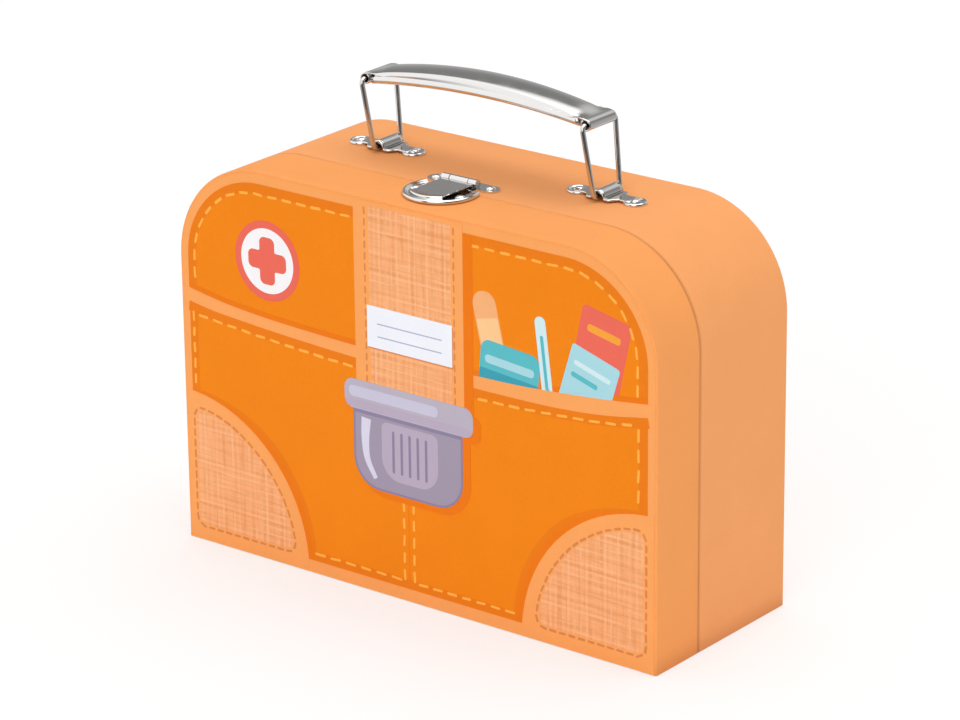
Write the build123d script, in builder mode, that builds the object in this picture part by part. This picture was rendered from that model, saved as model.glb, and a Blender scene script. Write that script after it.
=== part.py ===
from build123d import *
import os
from math import asin, cos, degrees, radians, sin

# A small carrying case of paperboard that stands on its bottom.
# X is the width, Y the depth with the front at -Y, Z is up, and the origin is the middle of the bottom.
# The front part is the lid, hinged along the bottom of the seam; the handle and its base are behind it.

# Case
case_width = 250.0
case_height = 174.5
case_depth = 91.0
corner_radius = 45.0
lid_depth = 29.3
seam_gap = 0.3

# Sheet goods
board = 2.0
paper = 0.3
cloth = 0.3
liner = 0.4  # lining card; it also holds the collar clear of the lid's bare rim
collar_board = 1.2
collar_reach = 4.0  # into the lid
collar_to_washer = 1.85  # between the collar's back edge and the handle's washers
collar_lift = 0.5  # above the hinge tape
lid_rim = 5.0  # bare rim of the lid that the collar enters
hinge_leaf = 12.0

# Handle
handle_set = 2.0  # ahead of the base's middle
ear_to_corner = 3.15  # from the outer ears to where the case's round corners start
bail_length = 30.3  # from the pivot to the grip's bar
bail_lean = 7.9  # degrees, towards -X
bail_foot_width = 17.8
bail_top_width = 22.7
wire = 2.2
wire_bend = 2.0
wire_end_gap = 0.4
pivot_height = 1.9
mount_sheet = 0.9
mount_pitch = 28.5  # between a mount's two rivets
ear_radius = 5.0
saddle_length = 13.6
saddle_plate_width = 11.0
tunnel_play = 0.6
tunnel_headroom = 0.3

# Grip
grip_sheet = 0.8
grip_width = 18.6
grip_rise = 6.5
grip_crown = 2.5
bead_radius = 1.3
bead_bore = 0.6
bead_rise = 4.1
bead_sag = 0.2  # the rolled edges' centres below the bails' bars, at the grip's ends
barrel_radius = 2.5
bead_stop = 3.4  # from the bar to where the rolled edge ends

# Rivets
rivet_head = 2.2
rivet_dome = 1.2
rivet_shank = 1.2
rivet_play = 0.1
rivet_tail = 1.9
rivet_tail_height = 0.5
washer_radius = 3.0
washer_sheet = 0.6

# Clasp
clasp_sheet = 0.8
clasp_reach = 7.1  # from the seam forward to the round plate's centre
clasp_radius = 16.2
clasp_bead = 1.0
clasp_gap = 0.2  # from each plate to its half's edge at the seam
front_rivet_pitch = 23.2
front_rivet_set = 2.0  # the rivets sit this far ahead of the centre
rear_rivet_pitch = 28.0
rear_ear_radius = 4.0
rear_ear_set = 7.7  # from the seam back to the ears' rivets
rear_plate_depth = 11.2  # from the seam
rear_plate_width = 20.0
pin_set = 5.7  # from the seam back to the pin
pin_height = 2.4
pin_radius = 1.0
pin_play = 0.05
hasp_sheet = 0.8
hasp_knuckle = 9.4
knuckle_gap = 0.3
side_knuckle = 4.0
hasp_width = 16.4
hasp_reach = 12.6  # from the round plate's centre to the rounded front
hasp_clear = 0.95  # from the round plate up to the hasp's flat
nose_width = 8.0
nose_play = 0.2  # from the nose down to the round plate
stud_radius = 1.6
stud_play = 0.15  # from the stud up to the hasp
stud_gap = 0.3

# Places that follow from the sizes above
front = -case_depth / 2
back = case_depth / 2
seam = front + lid_depth
lid_edge = seam - seam_gap / 2
base_edge = seam + seam_gap / 2
board_inset = paper + board
wall = board_inset + liner
floor_board = cloth + board
inside_floor = floor_board + liner
inner_width = case_width - 2 * board_inset
handle_y = (seam + back) / 2 - handle_set
bail_span = case_width - 2 * (corner_radius + ear_to_corner + ear_radius) - mount_pitch
collar_front = seam - collar_reach
collar_back = handle_y - washer_radius - collar_to_washer
clasp_centre = seam - clasp_reach
rear_ear_y = seam + rear_ear_set
pin_y = seam + pin_set
pivot_z = case_height + pivot_height
lean = radians(bail_lean)
grip_x = -bail_length * sin(lean)
grip_z = pivot_z + bail_length * cos(lean)
rivet_hole = rivet_shank + rivet_play
pin_z = case_height + pin_height
knuckle_bore = pin_radius + pin_play
knuckle_radius = knuckle_bore + hasp_sheet
hasp_under = case_height + clasp_sheet + hasp_clear
front_rivet_y = clasp_centre - front_rivet_set
handle_spots = [
    (side * bail_span / 2 + end * mount_pitch / 2, handle_y) for side in (-1, 1) for end in (-1, 1)
]
rear_spots = [(side * rear_rivet_pitch / 2, rear_ear_y) for side in (-1, 1)]
front_spots = [(side * front_rivet_pitch / 2, front_rivet_y) for side in (-1, 1)]


def at_depth(y):
    """Upright plane at depth y; what is extruded by a negative amount runs towards the back."""
    return Plane.XZ.offset(-y)


def case_outline(inset, floor):
    """The case seen from the front: square corners at the floor, round ones at the top."""
    with BuildSketch() as face:
        with Locations((0, floor)):
            Rectangle(
                case_width - 2 * inset, case_height - inset - floor, align=(Align.CENTER, Align.MIN)
            )
        fillet(face.vertices().group_by(Axis.Y)[-1], corner_radius - inset)
    return face.sketch


def arch(inset, thickness, floor):
    """Section of a band that runs up one side, over the top and down the other."""
    with BuildSketch() as section:
        add(case_outline(inset, floor))
        add(case_outline(inset + thickness, floor - thickness), mode=Mode.SUBTRACT)
    return section.sketch


def ring(inset, thickness, floor):
    """Section of a lining that also crosses the floor."""
    with BuildSketch() as section:
        add(case_outline(inset, floor))
        add(case_outline(inset + thickness, floor + thickness), mode=Mode.SUBTRACT)
    return section.sketch


def slab(y_from, y_to, width, floor, thickness):
    """Flat sheet along the bottom, between two depths."""
    with BuildPart() as sheet:
        with Locations((0, y_from, floor)):
            Box(width, y_to - y_from, thickness, align=(Align.CENTER, Align.MIN, Align.MIN))
    return sheet.part


def rivet(stack):
    """Domed rivet with a clinched tail; its head seats at the origin and grips the stack below."""
    with BuildPart() as body:
        with BuildSketch(Plane.XZ):
            with BuildLine():
                Line((0, rivet_dome), (0, -stack - rivet_tail_height))
                Polyline(
                    (0, -stack - rivet_tail_height),
                    (rivet_tail, -stack - rivet_tail_height),
                    (rivet_tail, -stack),
                    (rivet_shank, -stack),
                    (rivet_shank, 0),
                    (rivet_head, 0),
                )
                RadiusArc(
                    (rivet_head, 0),
                    (0, rivet_dome),
                    -(rivet_head**2 + rivet_dome**2) / (2 * rivet_dome),
                )
            make_face()
        revolve(axis=Axis.Z)
    return body.part


def place(piece, spots, height):
    """Copies of a piece at the listed X, Y spots."""
    return [piece.moved(Location((x, y, height))) for x, y in spots]


os.makedirs("parts", exist_ok=True)
finished = []


def finish(piece, name):
    """Label a finished piece and write its file."""
    piece.label = name
    export_step(piece, f"parts/{name}.step")
    finished.append(piece)


# Base boards: back, bent band, bottom
with BuildPart() as base_back_board:
    with BuildSketch(at_depth(back - paper - board)):
        add(case_outline(board_inset, floor_board))
    extrude(amount=-board)
finish(base_back_board.part, "base_back_board")

with BuildPart() as base_band:
    with BuildSketch(at_depth(base_edge)):
        add(arch(paper, board, cloth))
    extrude(amount=-(back - paper - base_edge))
    with Locations(*[(x, y, case_height) for x, y in handle_spots + rear_spots]):
        Hole(rivet_hole, depth=wall)
finish(base_band.part, "base_band")

with BuildPart() as base_bottom_board:
    add(slab(base_edge, back - paper, inner_width, cloth, board))
finish(base_bottom_board.part, "base_bottom_board")

# Base covering: paper round the band, paper on the back, cloth under the bottom
with BuildPart() as base_band_paper:
    with BuildSketch(at_depth(base_edge)):
        add(arch(0, paper, 0))
    extrude(amount=-(back - paper - base_edge))
    with Locations(*[(x, y, case_height) for x, y in handle_spots + rear_spots]):
        Hole(rivet_hole, depth=wall)
finish(base_band_paper.part, "base_band_paper")

with BuildPart() as base_back_paper:
    with BuildSketch(at_depth(back - paper)):
        add(case_outline(0, 0))
    extrude(amount=-paper)
finish(base_back_paper.part, "base_back_paper")

with BuildPart() as base_bottom_cloth:
    add(slab(base_edge, back - paper, case_width - 2 * paper, 0, cloth))
finish(base_bottom_cloth.part, "base_bottom_cloth")

# Base lining; its floor stops where the hinge tape starts
with BuildPart() as base_back_lining:
    with BuildSketch(at_depth(back - paper - board - liner)):
        add(case_outline(board_inset, floor_board))
    extrude(amount=-liner)
finish(base_back_lining.part, "base_back_lining")

with BuildPart() as base_side_lining:
    with BuildSketch(at_depth(base_edge)):
        add(ring(board_inset, liner, floor_board))
    extrude(amount=-(back - paper - board - liner - base_edge))
    add(slab(base_edge, base_edge + hinge_leaf, inner_width, floor_board, liner), mode=Mode.SUBTRACT)
    with Locations(*[(x, y, case_height) for x, y in handle_spots + rear_spots]):
        Hole(rivet_hole, depth=wall)
finish(base_side_lining.part, "base_side_lining")

with BuildPart() as hinge_tape_base:
    add(slab(base_edge, base_edge + hinge_leaf, inner_width, floor_board, liner))
finish(hinge_tape_base.part, "hinge_tape_base")

# Collar: glued inside the base, it enters the lid's rim when the case is shut
with BuildPart() as inner_collar:
    with BuildSketch(at_depth(collar_front)):
        add(arch(wall, collar_board, inside_floor + collar_lift))
    extrude(amount=-(collar_back - collar_front))
    with Locations(*[(x, y, case_height) for x, y in rear_spots]):
        Hole(rivet_hole, depth=wall + collar_board)
finish(inner_collar.part, "inner_collar")

# Lid boards
with BuildPart() as lid_front_board:
    with BuildSketch(at_depth(front + paper)):
        add(case_outline(board_inset, floor_board))
    extrude(amount=-board)
finish(lid_front_board.part, "lid_front_board")

with BuildPart() as lid_band:
    with BuildSketch(at_depth(front + paper)):
        add(arch(paper, board, cloth))
    extrude(amount=-(lid_edge - front - paper))
    with Locations(*[(x, y, case_height) for x, y in front_spots]):
        Hole(rivet_hole, depth=wall)
finish(lid_band.part, "lid_band")

with BuildPart() as lid_bottom_board:
    add(slab(front + paper, lid_edge, inner_width, cloth, board))
finish(lid_bottom_board.part, "lid_bottom_board")

# Lid covering
with BuildPart() as lid_front_paper:
    with BuildSketch(at_depth(front)):
        add(case_outline(0, 0))
    extrude(amount=-paper)
finish(lid_front_paper.part, "lid_front_paper")

with BuildPart() as lid_band_paper:
    with BuildSketch(at_depth(front + paper)):
        add(arch(0, paper, 0))
    extrude(amount=-(lid_edge - front - paper))
    with Locations(*[(x, y, case_height) for x, y in front_spots]):
        Hole(rivet_hole, depth=wall)
finish(lid_band_paper.part, "lid_band_paper")

with BuildPart() as lid_bottom_cloth:
    add(slab(front + paper, lid_edge, case_width - 2 * paper, 0, cloth))
finish(lid_bottom_cloth.part, "lid_bottom_cloth")

# Lid lining; it leaves the rim bare for the collar, and the floor's edge for the hinge tape
with BuildPart() as lid_front_lining:
    with BuildSketch(at_depth(front + paper + board)):
        add(case_outline(board_inset, floor_board))
    extrude(amount=-liner)
finish(lid_front_lining.part, "lid_front_lining")

with BuildPart() as lid_side_lining:
    with BuildSketch(at_depth(front + wall)):
        add(ring(board_inset, liner, floor_board))
    extrude(amount=-(lid_edge - lid_rim - front - wall))
    add(slab(lid_edge - hinge_leaf, lid_edge, inner_width, floor_board, liner), mode=Mode.SUBTRACT)
    with Locations(*[(x, y, case_height) for x, y in front_spots]):
        Hole(rivet_hole, depth=wall)
finish(lid_side_lining.part, "lid_side_lining")

with BuildPart() as hinge_tape_lid:
    add(slab(lid_edge - hinge_leaf, lid_edge, inner_width, floor_board, liner))
finish(hinge_tape_lid.part, "hinge_tape_lid")

# Handle mounts: a stamped saddle over the bail's foot, with an ear and a rivet on each side
tunnel_radius = wire / 2 + tunnel_play
tunnel_top = pivot_height + wire / 2 + tunnel_headroom
saddle_radius = tunnel_radius + mount_sheet
for name, side in (("left", -1), ("right", 1)):
    with BuildPart() as mount:
        mount_x = side * bail_span / 2
        with BuildSketch(Plane.XY.offset(case_height)):
            with Locations((mount_x, handle_y)):
                SlotCenterToCenter(mount_pitch, 2 * ear_radius)
                RectangleRounded(saddle_plate_width, saddle_length, 1.5 * mount_sheet)
        extrude(amount=mount_sheet)
        with BuildSketch(at_depth(handle_y - saddle_length / 2)):
            with Locations((mount_x, case_height + tunnel_top - tunnel_radius)):
                Circle(saddle_radius)
            with Locations((mount_x, case_height)):
                Rectangle(
                    2 * saddle_radius, tunnel_top - tunnel_radius, align=(Align.CENTER, Align.MIN)
                )
                Rectangle(
                    2 * saddle_radius, saddle_radius, align=(Align.CENTER, Align.MAX), mode=Mode.SUBTRACT
                )
        extrude(amount=-saddle_length)
        with BuildSketch(at_depth(handle_y - saddle_length / 2)):
            with Locations((mount_x, case_height + tunnel_top - tunnel_radius)):
                Circle(tunnel_radius)
            with Locations((mount_x, case_height)):
                Rectangle(
                    2 * tunnel_radius, tunnel_top - tunnel_radius, align=(Align.CENTER, Align.MIN)
                )
        extrude(amount=-saddle_length, mode=Mode.SUBTRACT)
        mount_spots = [(x, y) for x, y in handle_spots if x * side > 0]
        with Locations(*[(x, y, case_height + mount_sheet) for x, y in mount_spots]):
            Hole(rivet_hole, depth=mount_sheet)
    finish(mount.part, f"{name}_handle_mount")

with BuildPart() as handle_rivets:
    add(place(rivet(mount_sheet + wall + washer_sheet), handle_spots, case_height + mount_sheet))
finish(handle_rivets.part, "handle_rivets")

with BuildPart() as handle_washers:
    with BuildSketch(Plane.XY.offset(case_height - wall)):
        with Locations(*handle_spots):
            Circle(washer_radius)
            Circle(rivet_hole, mode=Mode.SUBTRACT)
    extrude(amount=-washer_sheet)
finish(handle_washers.part, "handle_washers")

# Bails: each is one bent wire whose ends meet inside its saddle
for name, side in (("left", -1), ("right", 1)):
    bail_plane = Plane(
        origin=(side * bail_span / 2, handle_y, pivot_z), x_dir=(0, 1, 0), z_dir=(cos(lean), 0, sin(lean))
    )
    with BuildPart() as bail:
        with BuildLine(bail_plane) as bend_line:
            FilletPolyline(
                (wire_end_gap / 2, 0),
                (bail_foot_width / 2, 0),
                (bail_top_width / 2, bail_length),
                (-bail_top_width / 2, bail_length),
                (-bail_foot_width / 2, 0),
                (-wire_end_gap / 2, 0),
                radius=wire_bend,
            )
        with BuildSketch(Plane(origin=bend_line.line @ 0, z_dir=bend_line.line % 0)):
            Circle(wire / 2)
        sweep()
    finish(bail.part, f"{name}_wire_bail")

# Grip: a crowned strip bent into an arch, with skirts down to rolled edges and a barrel round each bail
half_span = bail_span / 2
strip_edge = grip_z + barrel_radius - grip_crown + grip_sheet
arch_radius = (half_span**2 + grip_rise**2) / (2 * grip_rise)
arch_centre = strip_edge + grip_rise - arch_radius
arch_axis = Axis((grip_x, 0, arch_centre), (0, 1, 0))
strip_angle = degrees(asin(half_span / arch_radius))
bead_end = grip_z - bead_sag
bead_arch_radius = (half_span**2 + bead_rise**2) / (2 * bead_rise)
bead_arch_centre = bead_end + bead_rise - bead_arch_radius
bead_axis = Axis((grip_x, 0, bead_arch_centre), (0, 1, 0))
bead_angle = degrees(asin((half_span - bead_stop) / bead_arch_radius))
bead_y = grip_width / 2 - bead_radius
edge_y = bead_y + grip_sheet / 2
section_plane = Plane(origin=(grip_x, handle_y, arch_centre + arch_radius), x_dir=(0, 1, 0), z_dir=(1, 0, 0))
bead_plane = Plane(origin=(grip_x, handle_y, bead_end + bead_rise), x_dir=(0, 1, 0), z_dir=(1, 0, 0))
middle_plane = Plane(origin=(grip_x, handle_y, grip_z), z_dir=(1, 0, 0))
with BuildPart() as handle_grip:
    with BuildSketch(section_plane):
        with BuildLine():
            ThreePointArc((-edge_y, 0), (0, grip_crown), (edge_y, 0))
            Line((edge_y, 0), (edge_y, -grip_sheet))
            ThreePointArc((edge_y, -grip_sheet), (0, grip_crown - grip_sheet), (-edge_y, -grip_sheet))
            Line((-edge_y, -grip_sheet), (-edge_y, 0))
        make_face()
    revolve(axis=arch_axis, revolution_arc=strip_angle)
    for skirt_y in (-edge_y, edge_y - grip_sheet):
        with BuildSketch(at_depth(handle_y + skirt_y)):
            with BuildLine():
                RadiusArc((grip_x + half_span, strip_edge), (grip_x, strip_edge + grip_rise), -arch_radius)
                Line((grip_x, strip_edge + grip_rise), (grip_x, bead_end + bead_rise))
                RadiusArc((grip_x, bead_end + bead_rise), (grip_x + half_span, bead_end), bead_arch_radius)
                Line((grip_x + half_span, bead_end), (grip_x + half_span, strip_edge))
            make_face()
        extrude(amount=-grip_sheet)
    with BuildSketch(bead_plane):
        with Locations((-bead_y, 0), (bead_y, 0)):
            Circle(bead_radius)
    revolve(axis=bead_axis, revolution_arc=bead_angle)
    with BuildSketch(bead_plane):
        with Locations((-bead_y, 0), (bead_y, 0)):
            Circle(bead_bore)
    revolve(axis=bead_axis, revolution_arc=bead_angle, mode=Mode.SUBTRACT)
    with BuildSketch(at_depth(handle_y - grip_width / 2)):
        with Locations((grip_x + half_span, grip_z)):
            Circle(barrel_radius)
    extrude(amount=-grip_width)
    with BuildSketch(at_depth(handle_y - grip_width / 2)):
        with Locations((grip_x + half_span, grip_z)):
            Circle(barrel_radius - grip_sheet)
    extrude(amount=-grip_width, mode=Mode.SUBTRACT)
    mirror(about=middle_plane)
finish(handle_grip.part, "handle_grip")

# Clasp, rear plate: on the base, with two ears and the side knuckles of the hinge
with BuildPart() as clasp_rear_plate:
    plate_front = base_edge + clasp_gap
    with BuildSketch(Plane.XY.offset(case_height)):
        with Locations((0, plate_front)):
            Rectangle(
                rear_plate_width, seam + rear_plate_depth - plate_front, align=(Align.CENTER, Align.MIN)
            )
        with Locations(*rear_spots):
            Circle(rear_ear_radius)
        with Locations((0, rear_ear_y)):
            Rectangle(rear_rivet_pitch, rear_ear_radius)
        with Locations((0, pin_y)):
            Rectangle(
                hasp_knuckle + 2 * knuckle_gap, 2 * (knuckle_radius + knuckle_gap), mode=Mode.SUBTRACT
            )
    extrude(amount=clasp_sheet)
    knuckle_x = hasp_knuckle / 2 + knuckle_gap + side_knuckle / 2
    with Locations((-knuckle_x, pin_y, pin_z), (knuckle_x, pin_y, pin_z)):
        Cylinder(knuckle_radius, side_knuckle, rotation=(0, 90, 0))
        Cylinder(knuckle_bore, side_knuckle, rotation=(0, 90, 0), mode=Mode.SUBTRACT)
    with Locations(*[(x, y, case_height + clasp_sheet) for x, y in rear_spots]):
        Hole(rivet_hole, depth=clasp_sheet)
finish(clasp_rear_plate.part, "clasp_rear_plate")

with BuildPart() as clasp_rear_rivets:
    rear_stack = clasp_sheet + wall + collar_board + washer_sheet
    add(place(rivet(rear_stack), rear_spots, case_height + clasp_sheet))
finish(clasp_rear_rivets.part, "clasp_rear_rivets")

with BuildPart() as clasp_rear_washers:
    with BuildSketch(Plane.XY.offset(case_height - wall - collar_board)):
        with Locations(*rear_spots):
            Circle(washer_radius)
            Circle(rivet_hole, mode=Mode.SUBTRACT)
    extrude(amount=-washer_sheet)
finish(clasp_rear_washers.part, "clasp_rear_washers")

with BuildPart() as clasp_pin:
    with Locations((0, pin_y, pin_z)):
        Cylinder(
            pin_radius, hasp_knuckle + 2 * (knuckle_gap + side_knuckle + clasp_gap), rotation=(0, 90, 0)
        )
finish(clasp_pin.part, "clasp_pin")

# Clasp, front plate: a round plate with a rolled rim, cut straight at the seam
with BuildPart() as clasp_front_plate:
    plate_back = lid_edge - clasp_gap
    with BuildSketch(Plane(origin=(0, clasp_centre, case_height), x_dir=(1, 0, 0), z_dir=(0, -1, 0))):
        Rectangle(clasp_radius - clasp_bead, clasp_sheet, align=Align.MIN)
        with Locations((clasp_radius - clasp_bead, clasp_bead)):
            Circle(clasp_bead)
    revolve(axis=Axis((0, clasp_centre, 0), (0, 0, 1)))
    split(bisect_by=Plane.XZ.offset(-plate_back), keep=Keep.TOP)
    with Locations(*[(x, y, case_height + clasp_sheet) for x, y in front_spots]):
        Hole(rivet_hole, depth=clasp_sheet)
    stud_y = clasp_centre - hasp_reach + hasp_sheet + stud_gap + stud_radius
    with Locations((0, stud_y, case_height + clasp_sheet)):
        Hole(stud_radius / 2, depth=clasp_sheet)
finish(clasp_front_plate.part, "clasp_front_plate")

with BuildPart() as clasp_front_rivets:
    add(place(rivet(clasp_sheet + wall + washer_sheet), front_spots, case_height + clasp_sheet))
finish(clasp_front_rivets.part, "clasp_front_rivets")

with BuildPart() as clasp_front_washers:
    with BuildSketch(Plane.XY.offset(case_height - wall)):
        with Locations(*front_spots):
            Circle(washer_radius)
            Circle(rivet_hole, mode=Mode.SUBTRACT)
    extrude(amount=-washer_sheet)
finish(clasp_front_washers.part, "clasp_front_washers")

with BuildPart() as catch_stud:
    with Locations((0, stud_y, case_height)):
        Cylinder(stud_radius / 2, clasp_sheet, align=(Align.CENTER, Align.CENTER, Align.MIN))
    with Locations((0, stud_y, case_height + clasp_sheet)):
        Cylinder(stud_radius, hasp_clear - stud_play, align=(Align.CENTER, Align.CENTER, Align.MIN))
finish(catch_stud.part, "catch_stud")

# Hasp: it turns on the pin, reaches over the front plate and snaps its nose over the stud
with BuildPart() as clasp_hasp:
    flat_back = pin_y - knuckle_radius - knuckle_gap
    with BuildSketch(Plane.XY.offset(hasp_under)):
        with Locations((0, clasp_centre)):
            Circle(hasp_reach)
            Rectangle(hasp_width, 2 * hasp_reach, mode=Mode.INTERSECT)
            Rectangle(hasp_width, hasp_reach, align=(Align.CENTER, Align.MIN), mode=Mode.SUBTRACT)
            Rectangle(hasp_width, flat_back - clasp_centre, align=(Align.CENTER, Align.MIN))
            Rectangle(hasp_knuckle, pin_y - clasp_centre, align=(Align.CENTER, Align.MIN))
    extrude(amount=hasp_sheet)
    with Locations((0, pin_y, pin_z)):
        Cylinder(knuckle_radius, hasp_knuckle, rotation=(0, 90, 0))
        Cylinder(knuckle_bore, hasp_knuckle, rotation=(0, 90, 0), mode=Mode.SUBTRACT)
    with Locations((0, clasp_centre - hasp_reach + hasp_sheet, hasp_under)):
        Box(nose_width, hasp_sheet / 2, hasp_clear - nose_play, align=(Align.CENTER, Align.MAX, Align.MAX))
finish(clasp_hasp.part, "clasp_hasp")

print(len(finished), "pieces")
print("grip bars at x", round(grip_x - half_span, 2), round(grip_x + half_span, 2), "z", round(grip_z, 2))
print("hasp flat", round(hasp_under + hasp_sheet, 2), "seam", round(seam, 2), "handle y", round(handle_y, 2))
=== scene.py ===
import bmesh
import bpy
import random
from math import acos, asin, atan2, cos, degrees, dist, exp, pi, radians, sin, sqrt, tan
from mathutils import Matrix, Vector
from mathutils.geometry import tessellate_polygon


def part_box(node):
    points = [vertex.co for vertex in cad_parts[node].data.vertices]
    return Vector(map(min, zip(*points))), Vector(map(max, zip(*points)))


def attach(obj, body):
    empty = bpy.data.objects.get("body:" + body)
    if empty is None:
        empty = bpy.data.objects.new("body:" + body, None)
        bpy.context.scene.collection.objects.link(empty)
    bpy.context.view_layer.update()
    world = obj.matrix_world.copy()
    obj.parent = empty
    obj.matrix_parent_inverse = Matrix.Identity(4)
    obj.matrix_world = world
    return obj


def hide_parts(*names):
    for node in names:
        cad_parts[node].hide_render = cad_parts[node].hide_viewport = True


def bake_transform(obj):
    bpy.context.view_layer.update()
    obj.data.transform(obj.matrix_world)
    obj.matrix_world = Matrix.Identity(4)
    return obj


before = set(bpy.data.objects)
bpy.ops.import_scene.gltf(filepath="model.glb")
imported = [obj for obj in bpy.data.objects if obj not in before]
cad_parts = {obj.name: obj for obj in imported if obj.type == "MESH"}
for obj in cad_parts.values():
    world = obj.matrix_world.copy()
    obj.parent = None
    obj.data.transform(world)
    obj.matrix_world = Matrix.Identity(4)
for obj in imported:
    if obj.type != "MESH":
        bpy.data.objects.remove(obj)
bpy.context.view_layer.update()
print("frame loaded:", len(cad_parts), "nodes")

mm = 0.001  # sizes here are in millimetres; meshes, textures and lamps take metres


def nodeBox(name):
    low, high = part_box(name)
    return [v / mm for v in low], [v / mm for v in high]


faceLow, faceHigh = nodeBox("lid_front_paper")
case = {
    "halfWidth": faceHigh[0],
    "height": faceHigh[2],
    "cornerRadius": 45.0,
    "front": faceLow[1],
    "back": nodeBox("base_back_paper")[1][1],
    "lidEdge": nodeBox("lid_band")[1][1],
    "baseEdge": nodeBox("base_band")[0][1],
    "wall": 2.3,  # board and paper together
}
case["seam"] = (case["lidEdge"] + case["baseEdge"]) / 2


def smoothStep(low, high, value):
    share = min(max((value - low) / (high - low), 0.0), 1.0)
    return share * share * (3 - 2 * share)


def sweep(start, end, steps):
    # Angles in radians, from start to end in degrees.
    return [radians(start + (end - start) * i / steps) for i in range(steps + 1)]


def around(sides):
    return [2 * pi * k / sides for k in range(sides)]


nearlyStraight = radians(89.5)  # half of a corner so flat that it needs no rounding


def roundOff(corners, radii, closed=True, steps=7):
    # A line through corners, each rounded by its radius; one number does for all of them.
    made = []
    count = len(corners)
    for i, corner in enumerate(corners):
        radius = radii[i] if isinstance(radii, (list, tuple)) else radii
        isEnd = not closed and i in (0, count - 1)
        here = Vector(corner)
        before = (Vector(corners[i - 1]) - here).normalized()
        after = (Vector(corners[(i + 1) % count]) - here).normalized()
        half = before.angle(after, pi) / 2
        if radius <= 0 or isEnd or half > nearlyStraight:
            made.append(tuple(here))
            continue
        reach = radius / tan(half)
        centre = here + (before + after).normalized() * (radius / sin(half))
        start = here + before * reach - centre
        turn = -start.angle_signed(here + after * reach - centre)
        for k in range(steps + 1):
            c, s = cos(turn * k / steps), sin(turn * k / steps)
            made.append((centre.x + start.x * c - start.y * s, centre.y + start.x * s + start.y * c))
    return made


def circle(x, y, radius, steps=48, start=0.0, turn=360.0):
    turns = sweep(start, start + turn, steps)[: steps if turn == 360.0 else steps + 1]
    return [(x + radius * cos(a), y + radius * sin(a)) for a in turns]


def rectangle(left, low, right, high, radius=0.0, steps=7):
    return roundOff([(left, low), (right, low), (right, high), (left, high)], radius, steps=steps)


def turned(points, angle, about=(0, 0)):
    c, s = cos(radians(angle)), sin(radians(angle))
    shifted = [(x - about[0], y - about[1]) for x, y in points]
    return [(about[0] + x * c - y * s, about[1] + x * s + y * c) for x, y in shifted]


def sheet(rows, loop=False, capped=False):
    # Rows of points joined by faces; loop closes each row on itself, capped closes the two ends.
    count = len(rows[0])
    points = [p for row in rows for p in row]
    faces = []
    for i in range(len(rows) - 1):
        for j in range(count if loop else count - 1):
            k = (j + 1) % count
            faces.append((i * count + j, i * count + k, (i + 1) * count + k, (i + 1) * count + j))
    if capped:
        faces += [tuple(range(count)), tuple(range(len(points) - 1, len(points) - count - 1, -1))]
    return points, faces


def slab(loops, low, high, place):
    # A flat shape, its holes after its outline, filled at both levels and walled between them.
    flat = [p for loop in loops for p in loop]
    size = len(flat)
    points = [place(u, v, low) for u, v in flat] + [place(u, v, high) for u, v in flat]
    if len(loops) == 1:
        faces = [tuple(range(size - 1, -1, -1)), tuple(range(size, 2 * size))]
    else:
        cut = tessellate_polygon([[Vector((u, v, 0)) for u, v in loop] for loop in loops])
        faces = [tuple(t) for t in cut] + [tuple(i + size for i in reversed(t)) for t in cut]
    start = 0
    for loop in loops:
        for j in range(len(loop)):
            a, b = start + j, start + (j + 1) % len(loop)
            faces.append((a, b, b + size, a + size))
        start += len(loop)
    return points, faces


def dome(x, y, z, profile, sides=40):
    # A turned shape about an upright line; profile is radius and height pairs from the middle out.
    rows = [[(x + r * cos(a), y + r * sin(a), z + h) for a in around(sides)] for r, h in profile]
    return sheet(rows, loop=True, capped=True)


crease = radians(38.0)  # edges sharper than this stay sharp


def addObject(name, data):
    made = bpy.data.objects.new(name, data)
    bpy.context.scene.collection.objects.link(made)
    return made


def makePiece(name, parts, material, body, slot, replaced=(), bevel=0.0, thickness=0.0):
    # Joins parts, each a list of points and a list of faces, into one smooth piece on a body.
    points = []
    faces = []
    for partPoints, partFaces in parts:
        start = len(points)
        points += [Vector(p) * mm for p in partPoints]
        faces += [tuple(start + i for i in face) for face in partFaces]
    mesh = bpy.data.meshes.new(name)
    mesh.from_pydata(points, [], faces)
    mesh.validate()
    if not thickness:  # a closed shape looks outwards all round
        work = bmesh.new()
        work.from_mesh(mesh)
        bmesh.ops.recalc_face_normals(work, faces=work.faces)
        work.to_mesh(mesh)
        work.free()
    mesh.shade_smooth()
    mesh.set_sharp_from_angle(angle=crease)
    mesh.materials.append(material)
    piece = addObject(name, mesh)
    if thickness:
        solid = piece.modifiers.new("thickness", "SOLIDIFY")
        solid.thickness = thickness * mm
        solid.offset = -1
    if bevel:
        soft = piece.modifiers.new("softEdges", "BEVEL")
        soft.width = bevel * mm
        soft.segments = 3
        soft.limit_method = "ANGLE"
        soft.angle_limit = crease
        soft.harden_normals = True
    if replaced:
        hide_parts(*replaced)
    if body:
        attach(piece, body)
    return piece


def toLinear(hexText):
    # sRGB hex to the linear numbers that shaders take.
    channels = [int(hexText[i : i + 2], 16) / 255 for i in (1, 3, 5)]
    return [c / 12.92 if c <= 0.04045 else ((c + 0.055) / 1.055) ** 2.4 for c in channels] + [1.0]


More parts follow.
